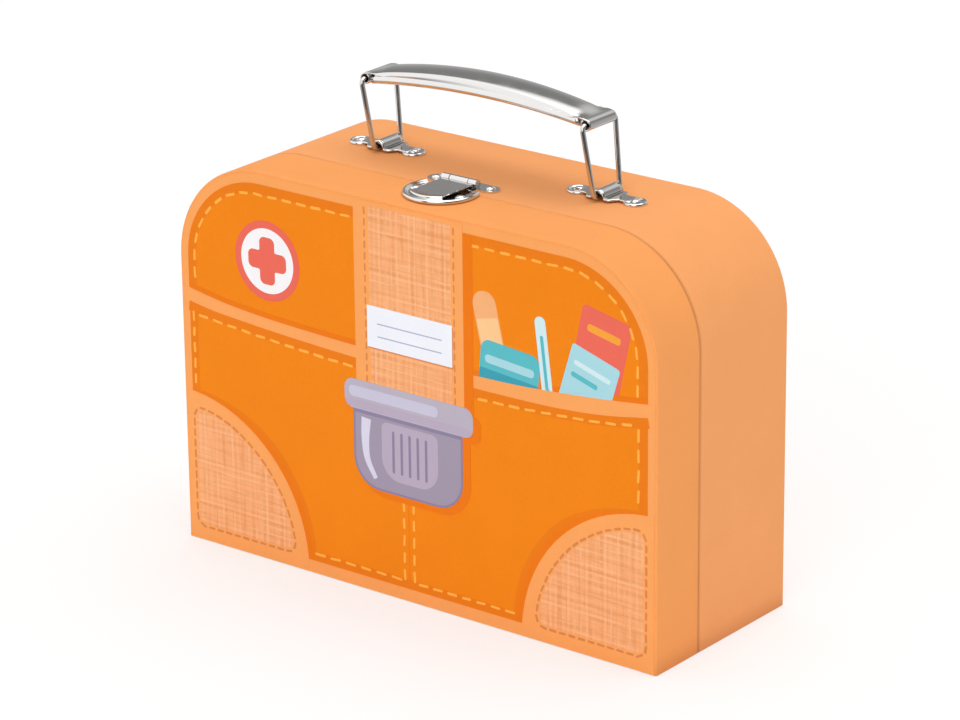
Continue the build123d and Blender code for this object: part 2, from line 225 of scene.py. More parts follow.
def addNode(tree, kind, values=(), **settings):
    # Adds a node with its values: a dictionary, or a list in the order of the sockets. A node or
    # one of its outputs is linked, and any other value is set.
    made = tree.nodes.new("ShaderNode" + kind)
    for name, value in settings.items():
        setattr(made, name, value)
    for name, value in values.items() if isinstance(values, dict) else enumerate(values):
        if isinstance(value, bpy.types.Node):
            value = value.outputs[0]
        if isinstance(value, bpy.types.NodeSocket):
            tree.links.new(value, made.inputs[name])
        else:
            made.inputs[name].default_value = value
    return made


def perMm(size):
    # Texture scale at which one feature is this many millimetres.
    return 1000.0 / size


def waveScale(period):
    # Wave texture scale for stripes this many millimetres apart.
    return 2 * pi / (20 * period * mm)


def startMaterial(name):
    material = bpy.data.materials.new(name)
    material.use_nodes = True
    tree = material.node_tree
    tree.nodes.clear()
    return material, tree, addNode(tree, "TexCoord").outputs["Object"]


def finishMaterial(tree, values, height, look):
    # The shader with its fine relief, whose depth is in millimetres.
    relief = {"Height": height, "Strength": look["relief"], "Distance": look["depth"] * mm}
    relief = addNode(tree, "Bump", relief)
    shader = addNode(tree, "BsdfPrincipled", {**values, "Normal": relief})
    addNode(tree, "OutputMaterial", {"Surface": shader})


def paperFinish(name, colour, look, pattern=None):
    # Uncoated covering paper, offset printed: the ink soaks in, so it is matt, a little uneven,
    # and the fibres under it break up the light.
    material, tree, place = startMaterial(name)
    noises = []
    for size, detail, rough, bent in (look["cloud"], look["grain"], look["fibre"]):
        noise = {"Vector": place, "Scale": perMm(size), "Detail": detail, "Roughness": rough}
        noises.append(addNode(tree, "TexNoise", {**noise, "Distortion": bent}))
    cloud, grain, fibres = noises
    both = addNode(tree, "Mix", {0: look["grainShare"], 2: cloud, 3: grain})
    value = addNode(tree, "MapRange", [both, 0.3, 0.7, 1 - look["uneven"], 1 + look["uneven"]])
    if "seamShade" in look:  # painted shade: the paper is darker along the fold at the rim, in the seam between the two halves, and more so towards the case's sides
        seamShade = look["seamShade"]
        across = addNode(tree, "SeparateXYZ", [place]).outputs
        fromSeam = addNode(tree, "Math", [across["Y"], case["seam"] * mm], operation="SUBTRACT")
        fromSeam = addNode(tree, "Math", [fromSeam], operation="ABSOLUTE")
        fromMiddle = addNode(tree, "Math", [across["X"]], operation="ABSOLUTE")
        least, most = 1 - seamShade["dark"] * seamShade["least"], 1 - seamShade["dark"]
        darkest = addNode(tree, "MapRange", [fromMiddle, seamShade["from"] * mm, seamShade["to"] * mm, least, most])
        # painted shade: darkest at the seam, fading out over its width
        seamShadeFactor = [fromSeam, 0.0, seamShade["width"] * mm, darkest]
        seamShadeFactor = addNode(tree, "MapRange", seamShadeFactor, interpolation_type="SMOOTHSTEP")
        value = addNode(tree, "Math", [value, seamShadeFactor], operation="MULTIPLY")
    shade = addNode(tree, "HueSaturation", {"Color": toLinear(colour), "Value": value})
    surface = {"Roughness": look["roughness"], "IOR": 1.5, "Specular IOR Level": 0.12}
    surface["Base Color"] = pattern(tree, place, shade) if pattern else shade
    finishMaterial(tree, surface, fibres, look)
    return material


paper = {
    "roughness": 0.62,
    # each noise: size in mm, detail, roughness and distortion
    "cloud": (26.0, 5.0, 0.62, 0.0),  # mottling of the ink
    "grain": (0.9, 3.0, 0.6, 0.0),
    "fibre": (0.55, 4.0, 0.55, 0.6),  # real fibres are near 0.05; drawn coarser so that they show
    "grainShare": 0.45,
    "uneven": 0.035,
    "relief": 0.35,
    "depth": 0.06,
}
wrapPaper = {
    **paper,
    "fibre": (0.8, 4.0, 0.55, 0.6),
    "uneven": 0.03,
    "relief": 0.55,
    "depth": 0.09,
    # painted shade in the fold at the seam: width, how dark, and where along the case it goes from least to
    # darkest
    "seamShade": {"width": 1.7, "dark": 0.22, "least": 0.2, "from": 55.0, "to": 110.0},
}
plaid = {
    "ground": "#FAAF78",
    # colour, period in mm, share of the period, strength, shift
    "lines": [
        ("#E8965C", 5.3, 0.55, 0.55, 0.4),
        ("#FDBF8D", 3.1, 0.5, 0.75, 2.1),
        ("#E8965C", 2.3, 0.3, 0.4, 4.4),
    ],
    "upShift": 1.3,  # keeps the upright and the level lines out of step
    "pen": {"Distortion": 0.7, "Detail": 2.0, "Detail Scale": 1.4},
    "breaks": 2.6,
    "run": 0.16,  # width to length of the unbroken pieces
}


def plaidLines(tree, place, colour):
    # Pen drawn lines both ways, which break off and start again.
    run, breaks = plaid["run"], {"Scale": perMm(plaid["breaks"]), "Detail": 2.0}
    for ink, period, width, strength, shift in plaid["lines"]:
        for way, stretch, phase in (("X", (1, 1, run), 0.0), ("Z", (run, 1, 1), plaid["upShift"])):
            stripes = {"Vector": place, "Scale": waveScale(period), "Phase Offset": shift + phase}
            wave = addNode(tree, "TexWave", {**stripes, **plaid["pen"]}, bands_direction=way)
            moved = {"Vector": place, "Scale": stretch, "Location": (shift, 0, shift)}
            broken = addNode(tree, "TexNoise", {"Vector": addNode(tree, "Mapping", moved), **breaks})
            reach = addNode(tree, "MapRange", [broken, 0.38, 0.6, 0.0, strength])
            line = [wave.outputs["Fac"], 1 - width, 1.0, 0.0, reach]
            line = addNode(tree, "MapRange", line, interpolation_type="SMOOTHSTEP")
            mixed = addNode(tree, "Mix", {0: line, 6: colour, 7: toLinear(ink)}, data_type="RGBA")
            colour = mixed.outputs[2]
    return colour


inks = {
    "peach": "#FBA75F",
    "orange": "#F4870C",
    "shade": "#EE7E10",
    "deep": "#F07A0C",
    "stitch": "#FFB24A",
    "darkStitch": "#DE8A50",
    "coral": "#EE6C5A",
    "white": "#F9F7F9",
    "label": "#F2F5FD",
    "labelLine": "#A9B2CC",
    "yellow": "#F9A63C",
    "teal": "#5CBEC8",
    "paleBlue": "#AADAE4",
    "iceBlue": "#D2EDF2",
    "tealShade": "#3FA2B4",
    "sand": "#F7B27A",
    "cream": "#FCCB92",
    "lilac": "#A399AE",
    "lilacBar": "#BCB4C4",
    "lilacLight": "#DAD8EC",
    "lilacSoft": "#CBC8DD",
    "lilacInset": "#BAADC2",
    "lilacDark": "#8F85A2",
}
inkMaterials = {
    ink: paperFinish("printedPaper" + ink[0].upper() + ink[1:], colour, paper)
    for ink, colour in inks.items()
}
inkMaterials["plaid"] = paperFinish("printedPaperPlaid", plaid["ground"], paper, plaidLines)
wrapMaterials = {
    "base": paperFinish("coveringPaperPeach", "#F9A868", wrapPaper),
    "lid": paperFinish("coveringPaperLid", "#FAA45D", wrapPaper),  # cut from a slightly yellower sheet
}


def cloth(name, colour, look):
    # Book cloth: plain woven cotton glued to paper, so it is matt with a fine even grid of threads.
    material, tree, place = startMaterial(name)
    stripes = {"Vector": place, "Scale": waveScale(look["thread"]), "Distortion": 0.4, "Detail": 1.0}
    threads = [addNode(tree, "TexWave", stripes, bands_direction=way).outputs["Fac"] for way in ("X", "Y")]
    weave = addNode(tree, "Math", threads, operation="MULTIPLY")
    dim = addNode(tree, "MapRange", [weave, 0.0, 1.0, look["dark"], 1.05])
    shade = addNode(tree, "HueSaturation", {"Color": toLinear(colour), "Value": dim})
    surface = {"Base Color": shade, "Roughness": look["roughness"], "IOR": 1.5, "Sheen Weight": 0.15}
    finishMaterial(tree, surface, weave, look)
    return material


# thread is a spacing in mm: near 0.4 in real book cloth, drawn coarser so that it shows
clothLook = {"roughness": 0.82, "thread": 0.8, "dark": 0.8, "relief": 0.6, "depth": 0.12}
clothMaterial = cloth("bookClothPeach", "#EE9C62", clothLook)


def board(name, colour, flecks, look):
    # Pulp board: pressed fibres with flecks, matt; the lining is a whiter card of the same make.
    material, tree, place = startMaterial(name)
    pulp = {"Vector": place, "Scale": perMm(look["fleck"]), "Detail": 6.0, "Roughness": 0.7}
    pulp = addNode(tree, "TexNoise", pulp)
    share = addNode(tree, "MapRange", [pulp, 0.5, 0.75, 0.0, look["amount"]])
    colours = addNode(tree, "Mix", {0: share, 6: toLinear(colour), 7: toLinear(flecks)}, data_type="RGBA")
    surface = {"Base Color": colours.outputs[2], "Roughness": look["roughness"], "IOR": 1.5}
    finishMaterial(tree, surface, pulp, look)
    return material


boardLook = {"roughness": 0.85, "fleck": 0.7, "amount": 0.8, "relief": 0.5, "depth": 0.08}
cardLook = {"roughness": 0.75, "fleck": 1.6, "amount": 0.5, "relief": 0.5, "depth": 0.04}
greyBoard = board("greyChipboard", "#A89F92", "#6F675C", boardLook)
liningCard = board("uncoatedLiningCard", "#F4ECDF", "#E3D6C2", cardLook)


def plated(name, look):
    # Bright plating over polished steel: a mirror with faint polishing marks and a few dull smudges.
    material, tree, place = startMaterial(name)
    smudge = {"Vector": place, "Scale": perMm(look["smudge"]), "Detail": 4.0, "Roughness": 0.65}
    smudge = addNode(tree, "TexNoise", smudge)
    clean, dull = look["roughness"] * 0.7, look["roughness"] * 1.7
    rough = addNode(tree, "MapRange", [smudge, 0.35, 0.75, clean, dull])
    stretched = addNode(tree, "Mapping", {"Vector": place, "Scale": look["along"]})
    marks = {"Vector": stretched, "Scale": perMm(look["mark"]), "Detail": 2.0, "Roughness": 0.5}
    marks = addNode(tree, "TexNoise", marks)
    surface = {"Base Color": toLinear(look["colour"]), "Metallic": 1.0, "Roughness": rough}
    finishMaterial(tree, surface, marks, look)
    return material


# smudge and mark are sizes in mm; along stretches the polishing marks
metals = {
    "nickelPlatedSheet": {
        "colour": "#D9D8D6", "roughness": 0.12, "smudge": 7.0, "mark": 0.5, "relief": 0.12,
        "depth": 0.02, "along": (0.06, 1.0, 1.0),
    },
    "nickelPlatedWire": {
        "colour": "#CFCECC", "roughness": 0.16, "smudge": 5.0, "mark": 0.35, "relief": 0.15,
        "depth": 0.02, "along": (1.0, 1.0, 0.06),
    },
    "nickelPlatedRivet": {
        "colour": "#DBDAD8", "roughness": 0.13, "smudge": 4.0, "mark": 0.5, "relief": 0.1,
        "depth": 0.02, "along": (1.0, 1.0, 1.0),
    },
    "zincPlatedSteel": {
        "colour": "#B9BBBE", "roughness": 0.32, "smudge": 2.5, "mark": 0.3, "relief": 0.3,
        "depth": 0.02, "along": (0.1, 1.0, 1.0),
    },
}
nickelSheet, nickelWire, nickelRivet, zincSteel = (plated(name, look) for name, look in metals.items())
print("materials made:", len(bpy.data.materials))


def archPath(inset, low, sideSteps=1, topSteps=1, cornerSteps=26):
    # The case's outline seen from the front, from its left foot over the top to its right foot.
    side = case["halfWidth"] - inset
    radius = case["cornerRadius"] - inset
    shoulder = case["height"] - case["cornerRadius"]
    centre = case["halfWidth"] - case["cornerRadius"]
    left = [(-side, low + (shoulder - low) * i / sideSteps) for i in range(sideSteps)]
    left += circle(-centre, shoulder, radius, cornerSteps, 180.0, -90.0)
    top = [(-centre + 2 * centre * i / topSteps, shoulder + radius) for i in range(1, topSteps)]
    return left + top + [(-x, z) for x, z in reversed(left)]


wrapLook = {
    "edgeRound": 0.7,  # where the band turns onto the front and the back
    "rimRound": 0.48,
    "sheet": 0.12,
    "rimGap": 0.05,  # from the board's rim to the paper over it
    "turnIn": {"lid": 4.8, "base": 0.0},
    "turnRound": 0.2,
    "turnGap": 0.16,  # from the board to the paper turned in
    "low": 0.08,
    "lap": (7.0, 3.0),  # under the front and back sheets
    "bandSteps": 16,
}
rims = {"lid": (case["front"], case["lidEdge"], 1), "base": (case["back"], case["baseEdge"], -1)}


def bandProfile(face, rim, way, turnIn):
    # Inset and depth pairs round the outside corner, along the band and over the rim.
    look = wrapLook
    start = face + way * look["sheet"]
    r, s = look["edgeRound"], look["rimRound"]
    edge = rim + way * look["rimGap"]
    near, far = start + way * r, edge - way * s
    steps = look["bandSteps"]
    pairs = [(lap, start) for lap in look["lap"]]
    pairs += [(r - r * sin(a), start + way * (r - r * cos(a))) for a in sweep(0, 90, 8)]
    pairs += [(0.0, near + (far - near) * i / steps) for i in range(1, steps)]
    pairs += [(s - s * cos(a), far + way * s * sin(a)) for a in sweep(0, 90, 6)]
    if not turnIn:
        return pairs + [(case["wall"] + look["rimGap"], edge)]
    inside, bend = case["wall"] + look["turnGap"], look["turnRound"]
    return pairs + [(inside - bend, edge), (inside, edge - way * bend), (inside, edge - way * turnIn)]


for body, (face, rim, way) in rims.items():
    profile = bandProfile(face, rim, way, wrapLook["turnIn"][body])
    rows = [[(x, y, z) for x, z in archPath(inset, wrapLook["low"], 14, 24)] for inset, y in profile]
    if way < 0:
        rows = [row[::-1] for row in rows]  # so that the outside stays outside
    makePiece(
        body + "Wrap", [sheet(rows)], wrapMaterials[body], body, "orange_paper", [body + "_band_paper"],
        thickness=wrapLook["sheet"],
    )

sheetLook = {
    "inset": 1.15,  # from the case's outline to the sheet's edge
    "low": 0.2,
    "thickness": 0.2,
    "bevel": 0.05,
    "printRise": 0.8,  # how far the print on the front stands above where it is drawn
}


def onFront(x, z, lift):
    return (x, case["front"] - lift, z)


def onPrint(x, z, lift):
    return (x, case["front"] - lift, z + sheetLook["printRise"])


def onBack(x, z, lift):
    return (-x, case["back"] + lift, z)


for name, body, node, place in (
    ("frontSheet", "lid", "lid_front_paper", onFront),
    ("backSheet", "base", "base_back_paper", onBack),
):
    flat = slab([archPath(sheetLook["inset"], sheetLook["low"])], -sheetLook["thickness"], 0.0, place)
    makePiece(name, [flat], inkMaterials["peach"], body, "printed_paper", [node], bevel=sheetLook["bevel"])

hingeLook = {
    "cloth": (0.02, 0.26),  # low and high level, from the floor
    "tape": (0.02, 0.28),  # and from the boards under it
    "edge": 1.4,  # from the case's front and back to the cloth
    "side": 0.35,
    "tapeSide": 0.1,
    "bend": 1.4,  # half of what bends with the lid
    "fine": 4.0,  # half of what is finely divided
    "fineSteps": 24,
    "acrossSteps": 40,
    "creaseRise": 0.12,
    "creaseWidth": 1.0,
}


def hingeStrip(name, levels, halfWidth, ends, rise, material, slot, nodes):
    # A closed flat strip along the bottom, finely divided round the seam.
    look, seam = hingeLook, case["seam"]
    fine, steps, across = look["fine"], look["fineSteps"], look["acrossSteps"]
    cuts = [ends[0]] + [seam - fine + 2 * fine * i / steps for i in range(steps + 1)] + [ends[1]]
    xs = [-halfWidth + 2 * halfWidth * i / across for i in range(across + 1)]
    rows = []
    for y in cuts:
        dip = rise * exp(-(((y - seam) / look["creaseWidth"]) ** 2))
        low, high = levels[0] + dip, levels[1] + dip
        rows.append([(x, y, low) for x in xs] + [(x, y, high) for x in reversed(xs)])
    piece = makePiece(name, [sheet(rows, loop=True, capped=True)], material, None, slot, nodes)
    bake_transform(piece)


clothHalf = case["halfWidth"] - hingeLook["side"]
clothEnds = (case["front"] + hingeLook["edge"], case["back"] - hingeLook["edge"])
clothNodes = ["base_bottom_cloth", "lid_bottom_cloth"]
levels = hingeLook["cloth"]
hingeStrip("hingeCloth", levels, clothHalf, clothEnds, 0.0, clothMaterial, "hinge_cloth", clothNodes)
tapeLow, tapeHigh = nodeBox("hinge_tape_base")
levels = [tapeLow[2] + level for level in hingeLook["tape"]]
tapeHalf = tapeHigh[0] - hingeLook["tapeSide"]
tapeEnds = (nodeBox("hinge_tape_lid")[0][1], tapeHigh[1])
tapeNodes = ["hinge_tape_base", "hinge_tape_lid"]
rise = hingeLook["creaseRise"]
hingeStrip("hingeTape", levels, tapeHalf, tapeEnds, rise, liningCard, "lining_paper", tapeNodes)
print("case covered")

# The print on the front, and a plainer one on the back: thin layers of ink, each a shape of its own
printLook = {"lift": 0.02, "sink": 0.05}  # from one level of ink to the next; its foot in the paper


def printPiece(name, layers, body="lid", place=onPrint):
    # layers are ink, level and outlines; each ink keeps its own material on the one piece.
    foot, lift = -printLook["sink"], printLook["lift"]
    parts = [slab(loops, foot, level * lift, place) for ink, level, loops in layers]
    order = list(dict.fromkeys(layer[0] for layer in layers))
    piece = makePiece(name, parts, inkMaterials[order[0]], body, "printed_paper")
    for ink in order[1:]:
        piece.data.materials.append(inkMaterials[ink])
    faceInks = [layer[0] for layer, part in zip(layers, parts) for face in part[1]]
    for polygon, ink in zip(piece.data.polygons, faceInks):
        polygon.material_index = order.index(ink)


def pointAt(line, lengths, distance):
    for i in range(len(line) - 1):
        if distance <= lengths[i + 1] or i == len(line) - 2:
            share = (distance - lengths[i]) / (lengths[i + 1] - lengths[i])
            return line[i].lerp(line[i + 1], share), (line[i + 1] - line[i]).normalized()


stitchLooks = {
    "field": {"length": 5.2, "gap": 2.6, "width": 1.15, "tilt": 4.0},
    "strap": {"length": 3.2, "gap": 1.6, "width": 0.85, "tilt": 3.0},
    "patch": {"length": 3.7, "gap": 1.2, "width": 1.05, "tilt": 3.0},
}
penHand = {"length": (0.92, 1.04), "width": (0.88, 1.12), "round": 0.85}  # how even the pen is


def stitches(ink, level, kind, path, seed, closed=False):
    # Short drawn dashes along a line, each a little off true as a pen would set them.
    draw = random.Random(seed)
    look = stitchLooks[kind]
    line = [Vector(p) for p in path] + ([Vector(path[0])] if closed else [])
    lengths = [0.0]
    for a, b in zip(line, line[1:]):
        lengths.append(lengths[-1] + (b - a).length)
    total = lengths[-1] + (0 if closed else look["gap"])
    count = max(1, round(total / (look["length"] + look["gap"])))
    pitch = total / count
    length = pitch - look["gap"]
    made = []
    for i in range(count):
        here, ahead = pointAt(line, lengths, i * pitch + length / 2)
        half = length / 2 * draw.uniform(*penHand["length"])
        width = look["width"] / 2 * draw.uniform(*penHand["width"])
        tilt = draw.uniform(-look["tilt"], look["tilt"])
        dash = rectangle(-half, -width, half, width, width * penHand["round"], steps=3)
        dash = turned(dash, degrees(atan2(ahead.y, ahead.x)) + tilt)
        made.append((ink, level, [[(x + here.x, z + here.y) for x, z in dash]]))
    return made


def offsetBand(path, starts, ends=None):
    # A closed band beside a line, between two distances to its left, which may change along it.
    line = [Vector(p) for p in path]
    edges = ([], [])
    for i, here in enumerate(line):
        way = (line[min(i + 1, len(line) - 1)] - line[max(i - 1, 0)]).normalized()
        left = Vector((-way.y, way.x))
        share = i / (len(line) - 1)
        for edge, start, end in zip(edges, starts, ends or starts):
            edge.append(tuple(here + left * (start + (end - start) * share)))
    return edges[0] + edges[1][::-1]


def smoothLine(points, steps=10):
    # A soft line through points, as a pen follows them.
    line = [Vector(p) for p in points]
    line = [line[0] * 2 - line[1]] + line + [line[-1] * 2 - line[-2]]
    made = []
    for i in range(1, len(line) - 2):
        a, b, c, d = line[i - 1 : i + 3]
        for t in (k / steps for k in range(steps)):
            curve = (2 * a - 5 * b + 4 * c - d) * t**2 + (3 * b - 3 * c + d - a) * t**3
            made.append(tuple(0.5 * (2 * b + (c - a) * t + curve)))
    return made + [tuple(line[-2])]


# Main sizes of the drawing, in mm from the middle of the bottom edge
drawing = {
    "border": 4.5,
    "fieldLow": 5.1,
    "topDrop": 1.6,  # the border over the field is that much wider
    "dropFrom": 118.0,
    "dropTo": 166.0,
    "rimShade": 4.4,
    "patchRadius": 68.0,
    # a corner patch's parts: in from its round edge, from the side and from the bottom, and the corners
    "patchTrim": (0.0, 1.3, 0.9, 0.0),
    "patchPlaid": (7.4, 6.3, 7.0, 4.0),
    "patchStitch": (6.2, 5.0, 5.8, 5.0),
    # the drawn shadow round a patch: at the top, what it gains by the middle, what it loses at the foot
    "shadow": (1.6, 3.8, 0.8),
}
fieldEdge = case["halfWidth"] - drawing["border"]


def fieldOutline(inset):
    path = archPath(inset, inset + drawing["fieldLow"] - drawing["border"])
    drop, low, high = drawing["topDrop"], drawing["dropFrom"], drawing["dropTo"]
    return [(x, z - drop * smoothStep(low, high, z)) for x, z in path]


def quarterPatch(side, inward, edge, low, corner):
    # A quarter round at a bottom corner of the drawing; side is -1 or 1.
    centre = case["halfWidth"]
    radius = drawing["patchRadius"] - inward
    out = centre - edge
    top = sqrt(radius**2 - edge**2)
    inner = centre - sqrt(radius**2 - low**2)
    start = degrees(atan2(top, out - centre))
    end = degrees(atan2(low, inner - centre))
    spare = 3 if corner else 1  # the arc's end points make room for the round corners
    arc = circle(centre, 0.0, radius, 22, start, end - start)[spare:-spare]
    corners = [(out, low), (out, top)] + arc + [(inner, low)]
    radii = [corner, corner] + [0.0] * len(arc) + [corner]
    return [(side * x, z) for x, z in roundOff(corners, radii, steps=5)]


def crescent(side, share):
    # The drawn shadow round a corner patch: thin at the top, wider further down.
    thin, gain, loss = drawing["shadow"]
    steps = 36
    rim = circle(side * case["halfWidth"], 0.0, drawing["patchRadius"] - 0.5, steps, 90.0, 90.0 * side)
    band = []
    for i, (x, z) in enumerate(rim):
        way = Vector((x - side * case["halfWidth"], z)).normalized()
        reach = thin + gain * smoothStep(0.0, 0.55, i / steps) - loss * smoothStep(0.7, 1.0, i / steps)
        band.append((x + way.x * share * reach, z + way.y * share * reach))
    return [(max(-fieldEdge, min(fieldEdge, x)), max(z, drawing["fieldLow"])) for x, z in rim + band[::-1]]


def panelLayers():
    # What the front and the back share: the orange field with its darker rim, and the corner patches.
    outer = fieldOutline(drawing["border"])
    inner = fieldOutline(drawing["border"] + drawing["rimShade"])
    layers = [("orange", 1, [outer]), ("shade", 2, [outer, inner])]
    for side in (-1, 1):
        layers.append(("shade", 2.6, [crescent(side, 1.1)]))
        layers.append(("deep", 3.2, [crescent(side, 0.7)]))
        layers.append(("peach", 4, [quarterPatch(side, *drawing["patchTrim"])]))
        layers.append(("plaid", 5, [quarterPatch(side, *drawing["patchPlaid"])]))
    return layers


def patchStitches(seed):
    made = []
    for side in (-1, 1):
        path = quarterPatch(side, *drawing["patchStitch"])
        made += stitches("darkStitch", 6, "patch", path, seed + side, closed=True)
    return made


# Front: the two pocket trims, each its upper and its lower edge, the strap and their shadows
trimCorners = [
    [
        [(-124.2, 115.4), (-101, 111.7), (-76, 109.6), (-50, 108.5), (-28, 107.9)],
        [(-124.2, 109.4), (-110, 107.2), (-101, 106.3), (-76, 104.6), (-50, 103.3), (-28, 102.5)],
    ],
    [
        [(28, 108.2), (55, 109.0), (75, 110.4), (98, 112.5), (124.2, 115.6)],
        [(28, 102.8), (55, 103.1), (75, 103.7), (98, 105.7), (124.2, 110.2)],
    ],
]
trims = [[smoothLine(edge) for edge in trim] for trim in trimCorners]
strap = {
    "left": -28.7,
    "right": 28.3,
    "low": 86.0,
    "high": case["height"] - 2.1,
    "plaid": (-20.7, 86.0, 22.0, 170.5),  # left, low, right, high
    "shadow": (27.3, 90.0, 33.2, 167.3),
    "stitchColumns": (-22.9, 23.6),
    "stitchLow": 88.0,
    "stitchHigh": 169.6,
}


def inside(path, limit):
    # Only the part of a line that is within the border.
    kept = [path[0]] if abs(path[0][0]) < limit else []
    for (x, z), (nextX, nextZ) in zip(path, path[1:]):
        for edge in (-limit, limit):
            if (x - edge) * (nextX - edge) < 0:
                kept.append((edge, z + (nextZ - z) * (edge - x) / (nextX - x)))
        if abs(nextX) < limit:
            kept.append((nextX, nextZ))
    return kept


frontLayers = panelLayers()
for top, low in trims:
    frontLayers.append(("deep", 3.8, [offsetBand(inside(top, fieldEdge), (-0.5, 2.4))]))
    frontLayers.append(("shade", 3.5, [offsetBand(inside(low, fieldEdge), (0.5, -drawing["rimShade"]))]))
    frontLayers.append(("peach", 5, [top + low[::-1]]))
frontLayers.append(("deep", 6.6, [rectangle(*strap["shadow"])]))
frontLayers.append(("peach", 7, [rectangle(strap["left"], strap["low"], strap["right"], strap["high"])]))
frontLayers.append(("plaid", 8, [rectangle(*strap["plaid"])]))
printPiece("printPanels", frontLayers)

bottomStitches = [(-53.5, 8.5), (53.5, 8.5)]
stitchPaths = [
    # round the two upper pockets
    roundOff([(-116.9, 119.6), (-116.9, 163.8), (-30.5, 163.8)], 35.5, closed=False, steps=14),
    roundOff([(31.5, 163.8), (115.5, 163.8), (115.5, 117.0)], 34.5, closed=False, steps=14),
    # under the two trims
    smoothLine([(-115.5, 103.2), (-100, 102.0), (-76, 100.4), (-50, 99.0), (-30.5, 98.3)]),
    smoothLine([(35, 98.6), (55, 99.3), (75, 100.6), (98, 102.5), (113, 104.8)]),
    # down the sides and the middle, and along the bottom
    [(-118.4, 104.5), (-118.4, 71.5)],
    [(116.0, 104.0), (116.0, 72.0)],
    [(-4.4, 44.5), (-4.4, 8.6)],
    [(0.8, 44.5), (0.8, 8.6)],
    [bottomStitches[0], (-6.0, 8.5)],
    [(3.0, 8.5), bottomStitches[1]],
]
frontStitches = []
for number, path in enumerate(stitchPaths):
    frontStitches += stitches("stitch", 6, "field", path, 11 + number)
for number, x in enumerate(strap["stitchColumns"]):
    column = [(x, strap["stitchLow"]), (x, strap["stitchHigh"])]
    frontStitches += stitches("darkStitch", 8.6, "strap", column, 31 + number)
frontStitches += patchStitches(51)
frontStitches.append(("shade", 2.6, [rectangle(-2.1, 6.0, -1.6, 47.0)]))  # the fold down the middle
printPiece("printStitches", frontStitches)

# Round badge: a white disc in a coral ring, with a soft ended plus
badge = {
    "x": -76.0,
    "z": 135.3,
    "disc": 14.3,  # radii
    "ring": 17.6,
    "arm": 10.4,
    "armHalf": 4.1,
    "round": 2.6,
    "inner": 0.8,
}
armHalf, arm = badge["armHalf"], badge["arm"]
limb = [(-armHalf, -arm), (armHalf, -arm), (armHalf, -armHalf)]
plus = [(badge["x"] + x, badge["z"] + z) for turn in (0, 90, 180, 270) for x, z in turned(limb, turn)]
badgeLayers = [
    ("coral", 6, [circle(badge["x"], badge["z"], badge["ring"], 64)]),
    ("white", 7, [circle(badge["x"], badge["z"], badge["disc"], 64)]),
    ("coral", 8, [roundOff(plus, [badge["round"], badge["round"], badge["inner"]] * 4)]),
]
printPiece("printBadge", badgeLayers)

# Label on the strap: blank, with two lines to write a name on; each shape is left, low, right, high
label = [
    ("darkStitch", 9, (-21.8, 108.6, 22.9, 126.6, 0.3)),
    ("label", 10, (-22.2, 109.2, 22.4, 127.4, 0.3)),
    ("labelLine", 11, (-16.8, 119.7, 17.0, 120.2)),
    ("labelLine", 11, (-16.8, 114.1, 17.0, 114.6)),
]
printPiece("printLabel", [(ink, level, [rectangle(*shape)]) for ink, level, shape in label])


def pocketCut(points, under=0.6):
    # Keeps a drawn thing above the pocket's trim, with a little of it under the trim's edge.
    trimTop = trims[1][0]
    kept = []
    for x, z in points:
        edge = trimTop[0][1]
        for a, b in zip(trimTop, trimTop[1:]):
            if a[0] <= x <= b[0]:
                edge = a[1] + (b[1] - a[1]) * (x - a[0]) / (b[0] - a[0])
        kept.append((x, max(z, edge - under)))
    return kept


def dense(points, step=1.5):
    # More points along a closed line, so that a cut follows a curve.
    made = []
    for a, b in zip(points, points[1:] + points[:1]):
        count = max(1, int(dist(a, b) / step))
        made += [(a[0] + (b[0] - a[0]) * i / count, a[1] + (b[1] - a[1]) * i / count) for i in range(count)]
    return made


# Things in the right pocket: ink, level, then left, low, right, high and corner radius, then how
# many degrees they lean and about which point
pocketThings = [
    # sticking plaster
    ("sand", 3.4, (40.5, 104, 52.5, 146.5, 5.8), 13, (46, 108)),
    ("cream", 3.8, (41.0, 122, 52.0, 135, 1.0), 13, (46, 108)),
    # folded cloth
    ("teal", 4.1, (36.0, 100, 66.0, 124.5, 4.5), -5, (50, 108)),
    ("tealShade", 4.3, (36.0, 100, 66.0, 112.0, 1.0), -5, (50, 108)),
    ("paleBlue", 4.4, (38.5, 114.6, 63.5, 118.2, 1.6), -5, (50, 108)),
    # notebook
    ("coral", 3.4, (80.0, 104, 104.5, 149.5, 2.2), -12, (92, 108)),
    ("yellow", 3.8, (84.0, 139.0, 100.5, 142.2, 1.2), -12, (92, 108)),
    # card in front of it
    ("paleBlue", 4.1, (76.5, 100, 101.0, 130.5, 1.4), -17, (90, 108)),
    ("iceBlue", 4.3, (79.5, 122.0, 98.0, 124.2, 0.9), -17, (90, 108)),
    ("teal", 4.3, (79.5, 116.6, 93.0, 118.8, 0.9), -17, (90, 108)),
    # thermometer
    ("iceBlue", 4.5, (68.3, 104, 73.7, 141.0, 2.6), 7, (71, 108)),
    ("teal", 4.7, (70.2, 104, 71.8, 133.0, 0.7), 7, (71, 108)),
]
pocketLayers = [
    (ink, level, [pocketCut(dense(turned(rectangle(*shape), lean, about)))])
    for ink, level, shape, lean, about in pocketThings
]
printPiece("printPocket", pocketLayers)


def buckleShape(left, low, right, high, topRadius, lowRadius, steps=12):
    corners = [(left, high), (left, low), (right, low), (right, high)]
    return roundOff(corners, [topRadius, lowRadius, lowRadius, topRadius], steps=steps)


